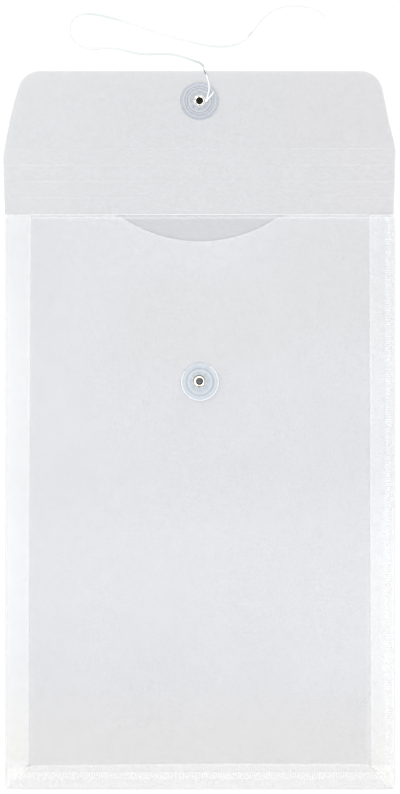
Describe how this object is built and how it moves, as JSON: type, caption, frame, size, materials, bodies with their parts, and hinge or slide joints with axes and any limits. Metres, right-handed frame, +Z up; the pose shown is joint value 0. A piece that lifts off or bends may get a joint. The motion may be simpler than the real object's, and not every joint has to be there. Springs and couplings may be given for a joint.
{
  "type": "string tie envelope",
  "caption": "Translucent plastic envelope with expanding gussets, a thumb-notched pocket and a scored flap, closed by winding its string round the button discs on flap and front.",
  "frame": {"origin": "centre of the back panel's underside, between its side folds and between its bottom fold and the flap fold", "axes": "+X to the right, +Y from the bottom fold towards the flap, +Z up out of the front panel"},
  "size_m": [0.1588, 0.3208, 0.01],
  "materials": {
    "film": "satin",
    "weld": "satin",
    "disc": "gloss",
    "eyelet": "polished",
    "string": "matte"
  },
  "bodies": {
    "back_panel": {"back_panel": "film"},
    "left_gusset_back": {"left_gusset_back": "film"},
    "left_gusset_front": {"left_gusset_front": "film"},
    "right_gusset_back": {"right_gusset_back": "film"},
    "right_gusset_front": {"right_gusset_front": "film"},
    "bottom_gusset_back": {"bottom_gusset_back": "film"},
    "bottom_gusset_front": {"bottom_gusset_front": "film"},
    "front_panel": {"front_panel": "film", "right_weld_tab": "weld", "bottom_weld_tab": "weld", "front_eyelet": "eyelet"},
    "flap_strip_1": {"flap_strip_1": "film"},
    "flap_strip_2": {"flap_strip_2": "film"},
    "flap_strip_3": {"flap_strip_3": "film"},
    "flap_strip_4": {"flap_strip_4": "film"},
    "flap_tongue": {"flap_tongue": "film", "flap_eyelet": "eyelet", "string_loop": "string", "string_tail": "string", "string": "string"},
    "flap_disc": {"flap_disc": "disc"},
    "front_disc": {"front_disc": "disc"}
  },
  "joints": [
    {"name": "pocket_expand", "type": "hinge", "parent": "back_panel", "child": "left_gusset_back", "pos_m": [-0.07902, 0, 0.00035], "axis": [0, -1, 0], "range_deg": [-16, 42], "stiffness_Nm_per_rad": 0.02, "springref_deg": 7.99},
    {"name": "left_inner_fold", "type": "hinge", "parent": "left_gusset_back", "child": "left_gusset_front", "pos_m": [-0.06964, 0, 0.00382], "axis": [0, -1, 0], "range_deg": [-84, 32], "stiffness_Nm_per_rad": 0.003},
    {"name": "left_front_fold", "type": "hinge", "parent": "left_gusset_front", "child": "front_panel", "pos_m": [-0.07902, 0, 0.00729], "axis": [0, -1, 0], "range_deg": [-16, 42], "stiffness_Nm_per_rad": 0.003},
    {"name": "right_back_fold", "type": "hinge", "parent": "back_panel", "child": "right_gusset_back", "pos_m": [0.07902, 0, 0.00035], "axis": [0, 1, 0], "range_deg": [-16, 42], "stiffness_Nm_per_rad": 0.003},
    {"name": "right_inner_fold", "type": "hinge", "parent": "right_gusset_back", "child": "right_gusset_front", "pos_m": [0.06964, 0, 0.00382], "axis": [0, 1, 0], "range_deg": [-84, 32], "stiffness_Nm_per_rad": 0.003},
    {"name": "bottom_back_fold", "type": "hinge", "parent": "back_panel", "child": "bottom_gusset_back", "pos_m": [0, -0.11713, 0.00035], "axis": [1, 0, 0], "range_deg": [-16, 42], "stiffness_Nm_per_rad": 0.003},
    {"name": "bottom_inner_fold", "type": "hinge", "parent": "bottom_gusset_back", "child": "bottom_gusset_front", "pos_m": [0, -0.10774, 0.00382], "axis": [1, 0, 0], "range_deg": [-84, 32], "stiffness_Nm_per_rad": 0.003},
    {"name": "flap_fold", "type": "hinge", "parent": "back_panel", "child": "flap_strip_1", "pos_m": [0, 0.11747, 0.00015], "axis": [1, 0, 0], "range_deg": [0, 35.3]},
    {"name": "flap_score_1", "type": "hinge", "parent": "flap_strip_1", "child": "flap_strip_2", "pos_m": [0, 0.12416, 0.00053], "axis": [1, 0, 0], "range_deg": [0, 35.3]},
    {"name": "flap_score_2", "type": "hinge", "parent": "flap_strip_2", "child": "flap_strip_3", "pos_m": [0, 0.13085, 0.00091], "axis": [1, 0, 0], "range_deg": [0, 35.3]},
    {"name": "flap_score_3", "type": "hinge", "parent": "flap_strip_3", "child": "flap_strip_4", "pos_m": [0, 0.13754, 0.00129], "axis": [1, 0, 0], "range_deg": [0, 35.3]},
    {"name": "flap_score_4", "type": "hinge", "parent": "flap_strip_4", "child": "flap_tongue", "pos_m": [0, 0.14423, 0.00168], "axis": [1, 0, 0], "range_deg": [0, 35.3]},
    {"name": "flap_disc_spin", "type": "hinge", "parent": "flap_tongue", "child": "flap_disc", "pos_m": [-0.00014, 0.1638, 0.00279], "axis": [0, -0.0569, 0.9984], "continuous": true},
    {"name": "front_disc_spin", "type": "hinge", "parent": "front_panel", "child": "front_disc", "pos_m": [-0.0003, 0.04917, 0.00864], "axis": [0, 0, 1], "continuous": true}
  ],
  "couplings": [
    {"joint": "left_inner_fold", "follows": "pocket_expand", "ratio": -2},
    {"joint": "left_front_fold", "follows": "pocket_expand", "ratio": 1},
    {"joint": "right_back_fold", "follows": "pocket_expand", "ratio": 1},
    {"joint": "right_inner_fold", "follows": "pocket_expand", "ratio": -2},
    {"joint": "bottom_back_fold", "follows": "pocket_expand", "ratio": 1},
    {"joint": "bottom_inner_fold", "follows": "pocket_expand", "ratio": -2},
    {"joint": "flap_score_1", "follows": "flap_fold", "ratio": 1},
    {"joint": "flap_score_2", "follows": "flap_fold", "ratio": 1},
    {"joint": "flap_score_3", "follows": "flap_fold", "ratio": 1},
    {"joint": "flap_score_4", "follows": "flap_fold", "ratio": 1}
  ]
}
